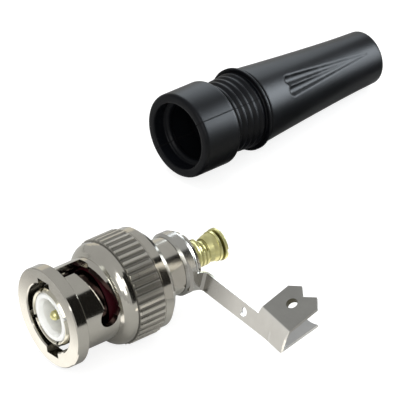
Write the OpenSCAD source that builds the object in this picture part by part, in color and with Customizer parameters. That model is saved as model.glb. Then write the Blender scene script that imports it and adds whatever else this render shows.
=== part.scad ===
// Bayonet coaxial plug with a screw terminal, a folded cable clamp and a moulded boot.
// Millimetres. +Z is up. The plug's axis lies along Y: its mating face looks to -Y, its
// cable end to +Y. The origin is on the plug's axis, in the plane of the mating face.
// The boot lies beside the plug, taken off, as it is before the cable is fitted.

/* [Coupling nut] */
// Outer diameter over the knurl, which also sets how high the plug's axis lies
knurl_d = 15; // [14.8:0.1:15.4]
// Number of straight flutes in the knurl
knurl_flutes = 44; // [36:2:48]
// Diameter of the cutter that makes one flute
flute_cutter_d = 0.72; // [0.6:0.02:0.76]
// Depth of one flute below the knurl's top
flute_depth = 0.24; // [0.18:0.02:0.3]
// Length of the knurled band
knurl_len = 4.2; // [3.6:0.1:4.6]
// Diameter of the thin front flange
flange_d = 14.2; // [13.9:0.1:14.4]
// Thickness of the front flange
flange_t = 1.75; // [1.4:0.05:2]
// Wall of the slotted sleeve behind the flange
sleeve_wall = 0.95; // [0.9:0.05:1.15]
// Distance from the mating face to the start of the shoulder
sleeve_len = 7.6; // [7.6:0.1:8]
// Length of the rounded shoulder that joins the sleeve to the barrel
shoulder_len = 1.6; // [1.2:0.1:1.9]
// Diameter of the barrel between its rings, and of the smooth band behind the knurl
barrel_d = 14.4; // [14.2:0.1:14.6]
// Width of the turned ring on each side of the knurl
ring_w = 0.25; // [0.2:0.05:0.35]
// Depth of those rings below the knurl
ring_depth = 0.33; // [0.3:0.01:0.4]
// Length of the smooth band behind the knurl
band_len = 1.2; // [0.7:0.05:1.4]
// Length and depth of the bevel at the nut's rear
rear_bevel = 0.9; // [0.8:0.1:1.2]
// Length of the low lip at the very rear of the nut
lip_len = 0.45; // [0.3:0.05:0.6]
// Diameter of that lip
lip_d = 11.2; // [10.5:0.1:11.4]
// Diameter of the mouth, which takes the barrel of the mating jack
mouth_d = 9.8; // [9.7:0.05:9.9]
// Thickness of the web at the rear, which runs on the plug body
web_t = 5.4; // [4.5:0.1:5.6]

/* [Bayonet slots] */
// Depth of the two keyways in the mouth, which clear the studs of the jack
keyway_depth = 0.75; // [0.7:0.05:0.8]
// Width of the straight channel in which a stud enters
channel_w = 2.6; // [2.3:0.1:2.8]
// Width of the cam ramp that follows it
ramp_w = 2.05; // [1.9:0.05:2.2]
// Diameter of the round detent at the end of the ramp
detent_d = 2.7; // [2.5:0.1:2.8]
// Angle of the entry channel, counted from +X towards +Z
slot_start_deg = 98; // [90:1:110]
// Turn from the entry channel to the detent
slot_turn_deg = 90; // [86:1:94]
// Distance from the mating face to the rear end of the channel
channel_end = 6.75; // [6.6:0.05:6.9]
// Distance from the mating face to the middle of the ramp where it leaves the channel
ramp_start = 5.2; // [5:0.1:5.4]
// Distance from the mating face to the middle of the ramp where it meets the detent
ramp_end = 6.65; // [6.3:0.05:6.7]
// How far the detent's centre steps back towards the mating face
detent_back = 0.75; // [0.6:0.05:0.8]

/* [Contacts] */
// Gap between the mouth and the slotted contact sleeve, for the jack's barrel
contact_gap = 0.8; // [0.75:0.05:0.85]
// Wall of the contact sleeve
contact_wall = 0.6; // [0.5:0.05:0.65]
// How far the contact sleeve lies inside the mating face
contact_recess = 0.2; // [0.15:0.05:0.6]
// Number of fingers that the sleeve is slit into
contact_fingers = 4; // [4:1:6]
// Width of the slits between the fingers
finger_slit_w = 0.5; // [0.4:0.05:0.6]
// Distance from the mating face to the front of the sleeve's flange
contact_flange_at = 8.2; // [8.1:0.1:8.6]
// Thickness of the flange that carries the gasket
contact_flange_t = 1.2; // [1:0.1:1.3]
// Gap between that flange and the nut's bore
contact_flange_gap = 0.35; // [0.3:0.05:0.45]
// Diameter of the centre pin
pin_d = 1.35; // [1.3:0.01:1.37]
// How far the pin's tip lies inside the mating face
pin_recess = 0.5; // [0.45:0.05:1.2]
// Thickness of the gasket, along the axis
gasket_t = 1.3; // [1:0.1:1.4]

/* [Insulators] */
// Diameter of the bore around the pin, which takes the jack's nose
nose_bore_d = 4.95; // [4.8:0.05:5.1]
// Distance from the mating face to the floor of that bore
nose_depth = 6.3; // [6:0.1:6.6]
// How far the insulator lies inside the mating face
insulator_recess = 0.3; // [0.25:0.05:0.8]
// Length of the insulator's stub inside the plug body
stub_len = 3.8; // [3:0.1:4]

/* [Plug body] */
// Diameter of the journal on which the nut turns
journal_d = 7.34; // [7.2:0.02:7.5]
// Bore of the plug body
body_bore_d = 5.2; // [5:0.05:5.3]
// Diameter of the bare neck behind the nut
neck_d = 8.2; // [8.1:0.1:8.4]
// Length of the bare neck
neck_len = 2.9; // [2.4:0.1:3.2]
// How far the staked rim at the rear end lies below the neck
rim_step = 0.2; // [0.15:0.05:0.3]
// Length of the staked rim
rim_len = 0.45; // [0.3:0.05:0.6]

/* [Spring and washer] */
// Thickness of the flat washer that carries the nut
thrust_t = 0.4; // [0.3:0.05:0.5]
// Free height of the wave washer
wave_h = 1.25; // [1.1:0.05:1.3]
// Thickness of the wave washer's sheet
wave_t = 0.25; // [0.2:0.05:0.3]
// Number of waves round the washer
waves = 3; // [3:1:4]

/* [Cable clamp] */
// How far the clamp's collar stands above the neck
collar_rise = 0.4; // [0.35:0.05:0.5]
// Length of the collar's full-size part
collar_len = 1.7; // [1.5:0.1:1.9]
// Length of the shoulder that closes the collar at the rear
collar_close = 0.6; // [0.5:0.05:0.7]
// Thickness of the sheet
sheet_t = 0.4; // [0.3:0.05:0.45]
// Width of the arm
arm_w = 2.65; // [2.4:0.05:2.8]
// Distance from the plug's axis to the start of the clamp's channel
arm_reach = 16.15; // [14:0.05:19]
// How far the middle of the arm lies below the plug's axis
arm_drop = 0.55; // [0:0.05:0.7]
// How far the arm's face leans back from upright
arm_lean = 16; // [12:1:20]
// Inner radius of the bend at the arm's root
bend_r = 0.5; // [0.4:0.05:0.6]
// How far the channel dips below the line of the arm
channel_dip = 5; // [0:1:8]
// Length of the channel that grips the cable
channel_len = 6.05; // [5.5:0.1:6.5]
// Length of the wings, from the fold to the tips of their points
wing_len = 5.8; // [5.5:0.1:6.5]
// Depth of the notch in a wing's end
notch_depth = 1.1; // [0.8:0.1:1.3]
// Angle of the upper wing above the level
upper_wing_deg = 23; // [20:0.5:28]
// Angle of the lower wing above the level
lower_wing_deg = 17; // [13:0.5:20]
// Width of the lower wing, at the channel's far end
lower_wing_w = 3.4; // [3:0.1:4]
// Length of the lower wing
lower_wing_len = 6; // [5.7:0.1:6.6]
// Diameter of the pierced hole in the upper wing
wing_hole_d = 1.55; // [1.3:0.05:1.8]
// Diameter of the hole in the arm
arm_hole_d = 1.3; // [1.1:0.05:1.5]
// Distance from the plug's axis to the hole in the arm
arm_hole_at = 13.3; // [12.5:0.1:14]

/* [Terminal] */
// Diameter of the brass terminal post
post_d = 4; // [3.9:0.05:4.1]
// Length of the post behind the plug body's rim
post_len = 3.05; // [2.8:0.05:3.3]
// Length of the side window at the post's end
window_len = 1.5; // [1.2:0.1:1.7]
// Diameter of the terminal screw
screw_d = 3; // [2.8:0.1:3]
// Length of the screw under its head
screw_len = 8; // [7:0.5:8.5]
// Diameter of the screw's head
head_d = 4.6; // [4.4:0.1:4.8]
// Height of the head's straight edge
head_edge = 0.45; // [0.4:0.05:0.6]
// Height of the head's dome
head_dome = 0.6; // [0.4:0.05:0.8]
// Width of the driver slot
driver_slot_w = 0.7; // [0.5:0.05:0.8]
// Outer diameter of the loose clamping washer
clamp_washer_d = 4.3; // [4.1:0.1:4.4]
// Length of the washer's cone
clamp_cone = 1.4; // [1.2:0.1:1.5]
// Length of the washer's edge
clamp_edge = 0.45; // [0.3:0.05:0.6]

/* [Boot] */
// Wall of the boot's front collar
boot_wall = 1.3; // [1.1:0.05:1.4]
// Length of the front collar
boot_collar_len = 6.5; // [6:0.1:7]
// Gap between the boot's mouth and the clamp's collar
boot_mouth_gap = 0.45; // [0.35:0.05:0.55]
// Depth of the mouth, up to the snap lip
boot_mouth_len = 2; // [1.8:0.1:2.4]
// Length of the snap lip
boot_lip_len = 0.8; // [0.6:0.1:1]
// Diameter of the ribbed waist, between its ribs
boot_waist_d = 9.9; // [9.8:0.05:10.4]
// Number of ribs round the waist
boot_ribs = 5; // [4:1:6]
// Distance from one rib to the next
boot_rib_pitch = 1.03; // [0.95:0.01:1.08]
// Height of a rib
boot_rib_h = 0.28; // [0.2:0.02:0.36]
// Diameter of the shoulder rim behind the ribs
boot_rim_d = 12.3; // [12:0.05:12.5]
// Distance from the boot's front to the rear edge of that rim
boot_rim_at = 12.7; // [12.6:0.1:13.5]
// Diameter of the tapered body where it starts
boot_body_d = 11.6; // [11.3:0.05:11.8]
// Diameter of the boot's rear end
boot_tail_d = 8.05; // [7.8:0.05:8.3]
// Overall length of the boot
boot_len = 37.3; // [35:0.1:39]
// Diameter of the hole for the cable at the rear end
boot_exit_d = 6.2; // [6:0.05:6.4]
// Distance from the boot's front to the start of the side recesses
relief_at = 17.6; // [17:0.1:19]
// Length of the side recesses
relief_len = 16.8; // [15:0.1:17]
// Width of a recess where it is widest
relief_w = 3.3; // [2.8:0.1:3.6]
// Angle of the mould's parting line, counted from +X towards +Z
parting_deg = 43; // [30:1:60]
// Where the boot lies: sideways from the plug's axis
boot_x = -24.9; // [-32:0.1:-18]
// Where the boot lies: distance of its front behind the mating face
boot_y = 39.4; // [34:0.1:45]
// How far the boot's axis is turned from the plug's axis
boot_turn = 6.4; // [0:0.1:12]

/* [Hidden] */

$fn = 96;
slack = 0.05;                 // fit of a piece that is pushed in and stays
run = 0.08;                   // running fit of a turning piece
free = 0.3;                   // clearance of moving pieces that must not touch
eps = 0.02;                   // overlap of cutters past a face
edge = 0.15;                  // small turned edge break
boot_ease = 0.2;              // gap between the boot and the plug that it slips over

// diameters that follow from the jack and from each other
stud_span_d = mouth_d + 2 * keyway_depth;
sleeve_d = mouth_d + 2 * sleeve_wall;
contact_d = mouth_d - 2 * contact_gap;
contact_flange_d = mouth_d - 2 * contact_flange_gap;
rim_d = neck_d - 2 * rim_step;
collar_d = neck_d + 2 * collar_rise;

// stations of the nut along the axis
shoulder_end = sleeve_len + shoulder_len;
knurl_from = shoulder_end + 2 * ring_w;
knurl_to = knurl_from + knurl_len;
band_to = knurl_to + ring_w + band_len;
bevel_to = band_to + rear_bevel;
nut_len = bevel_to + lip_len;
web_from = nut_len - web_t;
ring_d = knurl_d - 2 * ring_depth;
web_bore_d = journal_d + 2 * run;

// stations of the plug body
contact_flange_to = contact_flange_at + contact_flange_t;
journal_to = nut_len + slack;
collar_from = journal_to + neck_len;
collar_to = collar_from + collar_len + collar_close;
body_to = collar_to + rim_len;
spigot_d = body_bore_d + 1.2;
seat_d = neck_d - 0.2;
contact_bore_d = contact_d - 2 * contact_wall;

// stations of the insulators and the centre contact
stub_to = contact_flange_at + stub_len;
post_from = stub_to + slack;
post_to = body_to + post_len;
shank_step = 0.23;            // step from the pin up to the shank that the insulator holds
shank_d = pin_d + 2 * shank_step;
tap_d = screw_d + 2 * slack;

// stations of the terminal screw
clamp_from = post_to + slack;
clamp_to = clamp_from + clamp_cone + clamp_edge;
head_from = clamp_to + free;
head_to = head_from + head_edge + head_dome;

// the boot's rest: its rim and its tail touch the plane that the nut's knurl touches
floor_z = -knurl_d / 2;
boot_tilt = asin((boot_rim_d - boot_tail_d) / 2 / (boot_len - boot_rim_at));
boot_z = floor_z + boot_rim_d / 2 * cos(boot_tilt) + boot_rim_at * sin(boot_tilt);
boot_mouth_d = collar_d + 2 * boot_mouth_gap;
boot_collar_d = boot_mouth_d + 2 * boot_wall;
boot_lip_d = neck_d + 2 * boot_ease;
boot_hollow_d = collar_d + 2 * boot_ease;
boot_hollow_to = boot_mouth_len + boot_lip_len + neck_len + collar_len + 2;

// a solid of revolution round Y, from [distance along the axis, radius] points
module turned(points) {
    rotate([-90, 0, 0]) rotate_extrude() polygon([for (p = points) [p[1], p[0]]]);
}

// a plain turned length of rod or tube
module rod(from, to, d) {
    translate([0, from, 0]) rotate([-90, 0, 0]) cylinder(h = to - from, d = d);
}

// children placed on the +Z side of a cylinder round Y, then turned to an angle
// that is counted from +X towards +Z
module at_angle(deg) {
    rotate([0, 90 - deg, 0]) children();
}

// points of an arc in [along, radius], about a centre, from one angle to another
function arc(centre, r, a0, a1, steps = 6) =
    [for (i = [0 : steps]) let (a = a0 + (a1 - a0) * i / steps)
        [centre[0] + r * cos(a), centre[1] + r * sin(a)]];

// ---------------------------------------------------------------- coupling nut

// one bayonet slot: keyway, entry channel, cam ramp and detent
module bayonet_slot() {
    wall = flange_d / 2;
    corner_r = 0.8;
    bevel = 0.3;
    ramp_deg = slot_turn_deg - 12;
    steps = 10;
    step_deg = ramp_deg / steps;
    step_w = sleeve_d / 2 * step_deg * PI / 180;
    rise = (ramp_end - ramp_start) / steps;
    // keyway under the flange
    at_angle(slot_start_deg) translate([-channel_w / 2, -eps, mouth_d / 2 - 0.5])
        cube([channel_w, flange_t + 2 * eps, stud_span_d / 2 - mouth_d / 2 + 0.5]);
    // entry channel through the sleeve's wall, rounded where the ramp leaves it
    at_angle(slot_start_deg) translate([0, 0, mouth_d / 2 - 0.5]) {
        translate([-channel_w / 2, flange_t, 0])
            cube([channel_w, channel_end - corner_r - flange_t, wall]);
        translate([-channel_w / 2, flange_t, 0])
            cube([channel_w - corner_r, channel_end - flange_t, wall]);
        translate([channel_w / 2 - corner_r, channel_end - corner_r, 0])
            cylinder(h = wall, r = corner_r, $fn = 32);
    }
    // cam ramp, one short straight cut after another
    for (i = [0 : steps - 1]) {
        a = slot_start_deg - (i + 0.5) * step_deg;
        y = ramp_start + i * rise;
        at_angle(a) translate([0, 0, mouth_d / 2 - 0.5]) linear_extrude(wall)
            polygon([[-step_w * 0.56, y - ramp_w / 2], [step_w * 0.56, y + rise - ramp_w / 2],
                     [step_w * 0.56, y + rise + ramp_w / 2], [-step_w * 0.56, y + ramp_w / 2]]);
        // bevel along the front edge, on which the stud slides
        at_angle(a) translate([0, y + rise / 2 - ramp_w / 2, sleeve_d / 2])
            rotate([0, 0, atan2(rise, step_w)]) rotate([45, 0, 0])
                cube([step_w * 1.12, 2 * bevel, 2 * bevel / sqrt(2)], center = true);
    }
    // round end of the ramp, and the detent that steps back from it
    for (y = [ramp_end, ramp_end - detent_back])
        at_angle(slot_start_deg - slot_turn_deg + (y == ramp_end ? 6 : 0))
            translate([0, y, mouth_d / 2 - 0.5])
                cylinder(h = wall, d = y == ramp_end ? ramp_w : detent_d);
}

module coupling_nut() {
    flange_r = flange_d / 2;
    sleeve_r = sleeve_d / 2;
    barrel_r = barrel_d / 2;
    knurl_r = knurl_d / 2;
    ring_r = ring_d / 2;
    rise = barrel_r - sleeve_r;
    color([0.74, 0.72, 0.69])
    difference() {
        turned(concat(
            [[0, mouth_d / 2 + edge], [0, flange_r - edge], [edge, flange_r],
             [flange_t - edge / 2, flange_r], [flange_t, flange_r - edge / 2],
             [flange_t, sleeve_r + edge], [flange_t + edge, sleeve_r], [sleeve_len, sleeve_r]],
            [for (i = [1 : 6]) let (t = i / 6)
                [sleeve_len + shoulder_len * t, sleeve_r + rise * sin(90 * pow(t, 0.8))]],
            [[shoulder_end + ring_w, barrel_r], [shoulder_end + ring_w, ring_r],
             [knurl_from, ring_r], [knurl_from + edge, knurl_r],
             [knurl_to - edge, knurl_r], [knurl_to, ring_r],
             [knurl_to + ring_w, ring_r], [knurl_to + ring_w, barrel_r],
             [band_to, barrel_r], [bevel_to, barrel_r - rear_bevel],
             [bevel_to, lip_d / 2], [nut_len - edge, lip_d / 2],
             [nut_len, lip_d / 2 - edge], [nut_len, web_bore_d / 2],
             [web_from, web_bore_d / 2], [web_from, mouth_d / 2],
             [edge, mouth_d / 2]]));
        for (i = [0 : knurl_flutes - 1])
            rotate([0, i * 360 / knurl_flutes, 0])
                translate([0, knurl_from - eps, knurl_r - flute_depth + flute_cutter_d / 2])
                    rotate([-90, 0, 0])
                        cylinder(h = knurl_len + 2 * eps, d = flute_cutter_d, $fn = 24);
        for (side = [0, 180]) rotate([0, side, 0]) bayonet_slot();
    }
}

// ---------------------------------------------------------------- fixed core of the plug

module plug_body() {
    bore_r = body_bore_d / 2;
    color([0.72, 0.70, 0.67])
    turned([[contact_flange_at, bore_r], [contact_flange_at, spigot_d / 2],
            [contact_flange_to, spigot_d / 2], [contact_flange_to, journal_d / 2],
            [journal_to, journal_d / 2], [journal_to, neck_d / 2 - edge / 2],
            [journal_to + edge / 2, neck_d / 2], [collar_from - slack, neck_d / 2],
            [collar_from - slack, seat_d / 2], [collar_to - collar_close, seat_d / 2],
            [collar_to - collar_close, rim_d / 2 - sheet_t],
            [collar_to + slack, rim_d / 2 - sheet_t], [collar_to + slack, rim_d / 2],
            [body_to - edge, rim_d / 2], [body_to, rim_d / 2 - edge], [body_to, bore_r]]);
}

// slotted outer contact, pushed onto the plug body's spigot, with the gasket's flange
module contact_sleeve() {
    out_r = contact_d / 2;
    in_r = contact_bore_d / 2;
    lead = 0.2;
    color([0.80, 0.77, 0.70])
    difference() {
        turned([[contact_recess, in_r + lead], [contact_recess, out_r - 2 * edge],
                [contact_recess + 3 * edge, out_r],
                [contact_flange_at, out_r], [contact_flange_at, contact_flange_d / 2],
                [contact_flange_to - slack, contact_flange_d / 2],
                [contact_flange_to - slack, spigot_d / 2 + slack / 2],
                [contact_flange_at, spigot_d / 2 + slack / 2],
                [contact_flange_at - slack, in_r], [contact_recess + lead, in_r]]);
        for (i = [0 : contact_fingers - 1])
            at_angle(slot_start_deg - 72 + i * 360 / contact_fingers)
                translate([-finger_slit_w / 2, 0, in_r - 0.5])
                    cube([finger_slit_w, nose_depth, contact_wall + 1]);
    }
}

module front_insulator() {
    out_r = contact_bore_d / 2 - slack;
    color([0.94, 0.93, 0.90])
    turned([[insulator_recess, nose_bore_d / 2 + 2 * edge],
            [insulator_recess, out_r - edge], [insulator_recess + edge, out_r],
            [contact_flange_at - 2 * slack, out_r],
            [contact_flange_at - 2 * slack, body_bore_d / 2 - slack],
            [stub_to, body_bore_d / 2 - slack], [stub_to, shank_d / 2 + slack],
            [nose_depth, shank_d / 2 + slack], [nose_depth, nose_bore_d / 2 - edge],
            [nose_depth - edge, nose_bore_d / 2],
            [insulator_recess + 4 * edge, nose_bore_d / 2]]);
}

module rear_insulator() {
    color([0.94, 0.93, 0.90])
    turned([[post_from + 0.5, post_d / 2 + slack], [post_from + 0.5, body_bore_d / 2 - slack],
            [body_to - 0.2, body_bore_d / 2 - slack], [body_to - 0.2, post_d / 2 + slack]]);
}

// one turned and gilded contact: the pin at the front, the tapped terminal post at the rear
module centre_contact() {
    pin_r = pin_d / 2;
    nose = 0.45;
    tap_from = head_from - screw_len - 0.6;
    color([0.83, 0.77, 0.46])
    difference() {
        turned([[pin_recess, 0], [pin_recess, pin_r * 0.35],
                [pin_recess + nose * 0.4, pin_r * 0.75], [pin_recess + nose, pin_r],
                [nose_depth - slack, pin_r], [nose_depth - slack, shank_d / 2],
                [post_from, shank_d / 2], [post_from, post_d / 2],
                [post_to - edge, post_d / 2], [post_to, post_d / 2 - edge], [post_to, 0]]);
        rod(tap_from, post_to + eps, tap_d);
        // side window, open to the top and sloping down to the end of the post
        translate([0, post_to - window_len, -0.1]) rotate([0, -42, 0]) rotate([-14, 0, 0])
            translate([-post_d, 0, 0]) cube([2 * post_d, post_d, post_d]);
    }
}

module gasket() {
    in_r = contact_d / 2 + slack;
    out_r = contact_flange_d / 2;
    front = contact_flange_at - slack - gasket_t;
    bead = 0.2;
    color([0.42, 0.05, 0.07])
    turned([[front + bead, in_r], [front, in_r + bead / 2], [front, out_r - bead],
            [front + bead, out_r], [contact_flange_at - slack, out_r],
            [contact_flange_at - slack, in_r]]);
}

// ---------------------------------------------------------------- spring and washer

// sprung ring whose sheet rises and falls round the axis
module wave_washer() {
    in_r = journal_d / 2 + 0.15;
    out_r = contact_flange_d / 2;
    steps = 16 * waves;
    half = (wave_h - wave_t) / 2;
    middle = contact_flange_to + slack + wave_h / 2;
    ring = [for (i = [0 : steps - 1]) let (a = i * 360 / steps, y = middle + half * cos(waves * a))
        each [[in_r * cos(a), y - wave_t / 2, in_r * sin(a)],
              [out_r * cos(a), y - wave_t / 2, out_r * sin(a)],
              [out_r * cos(a), y + wave_t / 2, out_r * sin(a)],
              [in_r * cos(a), y + wave_t / 2, in_r * sin(a)]]];
    color([0.55, 0.55, 0.55])
    polyhedron(ring, [for (i = [0 : steps - 1], k = [0 : 3])
        let (j = (i + 1) % steps, n = (k + 1) % 4)
            [4 * i + k, 4 * j + k, 4 * j + n, 4 * i + n]]);
}

module thrust_washer() {
    color([0.74, 0.72, 0.69])
    difference() {
        rod(web_from - slack - thrust_t, web_from - slack, contact_flange_d);
        rod(web_from - slack - thrust_t - eps, web_from - slack + eps, journal_d + 2 * run);
    }
}

// ---------------------------------------------------------------- cable clamp

// a point of the channel's section, at a distance and an angle from another point
function from_point(p, length, deg) = [p[0] + length * cos(deg), p[1] + length * sin(deg)];

// a strip of the given centre line in the Y-Z plane, extruded along X
module folded_strip(line, from, to) {
    count = len(line);
    dirs = [for (i = [0 : count - 2]) atan2(line[i + 1][1] - line[i][1],
                                           line[i + 1][0] - line[i][0])];
    turn = [for (i = [0 : count - 1])
        i == 0 ? dirs[0] : i == count - 1 ? dirs[count - 2] :
            dirs[i - 1] + wrapped(dirs[i] - dirs[i - 1]) / 2];
    miter = [for (i = [0 : count - 1])
        i == 0 || i == count - 1 ? 1 : 1 / cos(wrapped(dirs[i] - dirs[i - 1]) / 2)];
    side = [for (s = [1, -1]) [for (i = [0 : count - 1])
        from_point(line[i], sheet_t / 2 * miter[i], turn[i] + s * 90)]];
    translate([from, 0, 0]) rotate([90, 0, 90]) linear_extrude(to - from)
        polygon(concat(side[0], [for (i = [count - 1 : -1 : 0]) side[1][i]]));
}

// an angle brought into the range -180 to 180
function wrapped(a) = a > 180 ? a - 360 : a < -180 ? a + 360 : a;

// outline of the upper wing, from its fold: bevelled corners, two points and a notch between
module upper_outline() {
    bevel = 1.05;
    skew = 0.5;
    w = channel_len;
    function end(x, y) = [x, y + skew * (x / w - 0.45)];
    polygon([[0, 0.15], end(0, wing_len - bevel), end(w * 0.25, wing_len),
             end(w * 0.5, wing_len - notch_depth), end(w * 0.75, wing_len),
             end(w, wing_len - bevel - 0.2), [w, 0.15]]);
}

// outline of the lower wing, from its fold: its end is hollowed between two pointed corners
module lower_outline() {
    w = lower_wing_w;
    hollow = 0.45;
    r = (w * w / 4 + hollow * hollow) / (2 * hollow);
    difference() {
        translate([0, 0.15]) square([w, lower_wing_len - 0.15]);
        translate([w / 2, lower_wing_len - hollow + r]) circle(r = r, $fn = 64);
    }
}

module cable_clamp() {
    collar_r = collar_d / 2;
    seat_r = seat_d / 2 + slack / 2;
    front_bevel = collar_r - neck_d / 2 - slack;
    close_r = rim_d / 2 - sheet_t + slack;
    root = [collar_r - 0.08 - sheet_t / 2, collar_from + 0.5, -arm_drop];
    tab_len = collar_len;
    mid_bend = bend_r + sheet_t / 2;
    arm_y = tab_len + mid_bend;
    arm_from = root[0] + mid_bend;
    ch_from = arm_reach;
    ch_to = arm_reach + channel_len;
    // section of the channel: lower wing, curved back, upper wing
    low_fold = [arm_y - 0.1, arm_drop - arm_w / 2 - 0.2];
    back1 = from_point(low_fold, 0.68, 82 + arm_lean);
    back2 = from_point(back1, 1.43, 73 + arm_lean);
    high_fold = from_point(back2, 0.87, 54 + arm_lean);
    low_deg = lower_wing_deg + arm_lean;
    high_deg = upper_wing_deg + arm_lean;
    low_from = ch_to - lower_wing_w;
    pivot = [low_from, 0, arm_drop];
    color([0.66, 0.64, 0.61]) {
        difference() {
            turned(concat(
                [[collar_from, seat_r], [collar_from, collar_r - front_bevel],
                 [collar_from + front_bevel, collar_r],
                 [collar_from + collar_len - edge, collar_r],
                 [collar_from + collar_len, collar_r - edge]],
                arc([collar_from + collar_len, collar_r - edge - collar_close],
                    collar_close, 90, 0),
                [[collar_to, close_r], [collar_to - collar_close + slack, close_r],
                 [collar_to - collar_close + slack, seat_r]]));
            rod(collar_from - eps, collar_to + eps, 2 * close_r - eps);
        }
        translate(root) rotate([-arm_lean, 0, 0]) {
            // flat tab on the collar's side
            translate([-sheet_t / 2, 0, -arm_w / 2]) cube([sheet_t, tab_len + eps, arm_w]);
            // bend out to the side
            translate([mid_bend, tab_len, -arm_w / 2]) rotate([0, 0, 90])
                rotate_extrude(angle = 90)
                    translate([bend_r, 0]) square([sheet_t, arm_w]);
            // arm, with its hole; it ends where the lower wing starts
            difference() {
                translate([mid_bend, arm_y - sheet_t / 2, -arm_w / 2])
                    cube([low_from - arm_from, sheet_t, arm_w]);
                translate([arm_hole_at - root[0], arm_y, 0]) rotate([90, 0, 0])
                    cylinder(h = 2, d = arm_hole_d, center = true, $fn = 32);
            }
            // the channel's curved back with its two wings
            translate([-root[0], 0, 0]) translate(pivot) rotate([0, channel_dip, 0])
                translate(-pivot) {
                    folded_strip([from_point(low_fold, 0.3, low_deg), low_fold, back1, back2,
                                  high_fold, from_point(high_fold, 0.3, high_deg)],
                                 low_from, ch_to);
                    folded_strip([low_fold, back1, back2, high_fold,
                                  from_point(high_fold, 0.3, high_deg)],
                                 ch_from, low_from + eps);
                    translate([ch_from, high_fold[0], high_fold[1]]) rotate([high_deg, 0, 0])
                        upper_wing();
                    translate([low_from, low_fold[0], low_fold[1]]) rotate([low_deg, 0, 0])
                        translate([0, 0, -sheet_t / 2]) linear_extrude(sheet_t) lower_outline();
                }
        }
    }
}

// upper wing with its pierced and drawn hole
module upper_wing() {
    burr = 0.5;
    hole_at = [channel_len * 0.445, wing_len * 0.53, 0];
    difference() {
        union() {
            translate([0, 0, -sheet_t / 2]) linear_extrude(sheet_t) upper_outline();
            translate(hole_at - [0, 0, sheet_t / 2 + burr])
                cylinder(h = burr + sheet_t / 2, d = wing_hole_d + 0.4, $fn = 32);
        }
        translate(hole_at) cylinder(h = 3, d = wing_hole_d, center = true, $fn = 32);
    }
}

// ---------------------------------------------------------------- terminal screw

module clamp_washer() {
    hole_r = screw_d / 2 + run;
    out_r = clamp_washer_d / 2;
    color([0.84, 0.79, 0.50])
    turned([[clamp_from, hole_r], [clamp_from, hole_r + 0.12],
            [clamp_from + clamp_cone * 0.5, out_r - 0.22], [clamp_from + clamp_cone, out_r - 0.08],
            [clamp_from + clamp_cone, out_r], [clamp_to - 0.08, out_r],
            [clamp_to, out_r - 0.08], [clamp_to, hole_r]]);
}

module terminal_screw() {
    head_r = head_d / 2;
    shank_r = screw_d / 2;
    tip = head_from - screw_len;
    dome_r = (head_r * head_r + head_dome * head_dome) / (2 * head_dome);
    color([0.84, 0.79, 0.50])
    difference() {
        turned(concat(
            [[tip, 0], [tip, shank_r - 0.35], [tip + 0.35, shank_r], [head_from, shank_r],
             [head_from, head_r - 0.08], [head_from + 0.08, head_r],
             [head_from + head_edge, head_r]],
            [for (i = [1 : 6]) let (r = head_r * (1 - i / 6))
                [head_to - dome_r + sqrt(dome_r * dome_r - r * r), r]]));
        translate([-head_r - eps, head_from + head_edge * 0.6, -driver_slot_w / 2])
            cube([head_d + 2 * eps, head_dome + head_edge, driver_slot_w]);
    }
}

// ---------------------------------------------------------------- boot

// radius of the tapered body at a distance from the boot's front
function boot_r(y) = boot_tail_d / 2 + (boot_body_d - boot_tail_d) / 2
    * pow(1 - (y - boot_rim_at) / (boot_len - boot_rim_at), 1.3);

// one tapering flute of a side recess, at a small angle beside the parting line
module relief_flute(side) {
    cut_r = relief_w / 4 + 0.05;
    tip_r = 0.18;
    start = [side * relief_w / 4, relief_at + cut_r, boot_r(relief_at) + 0.05];
    end = [0, relief_at + relief_len, boot_r(relief_at + relief_len) + 0.12];
    run_y = end[1] - start[1];
    yaw = atan2(end[0] - start[0], run_y);
    pitch = atan2(end[2] - start[2], run_y);
    translate(start) rotate([pitch, 0, -yaw]) {
        sphere(r = cut_r, $fn = 48);
        rotate([-90, 0, 0]) cylinder(h = run_y / cos(yaw) / cos(pitch), r1 = cut_r, r2 = tip_r,
                                     $fn = 48);
    }
}

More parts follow.
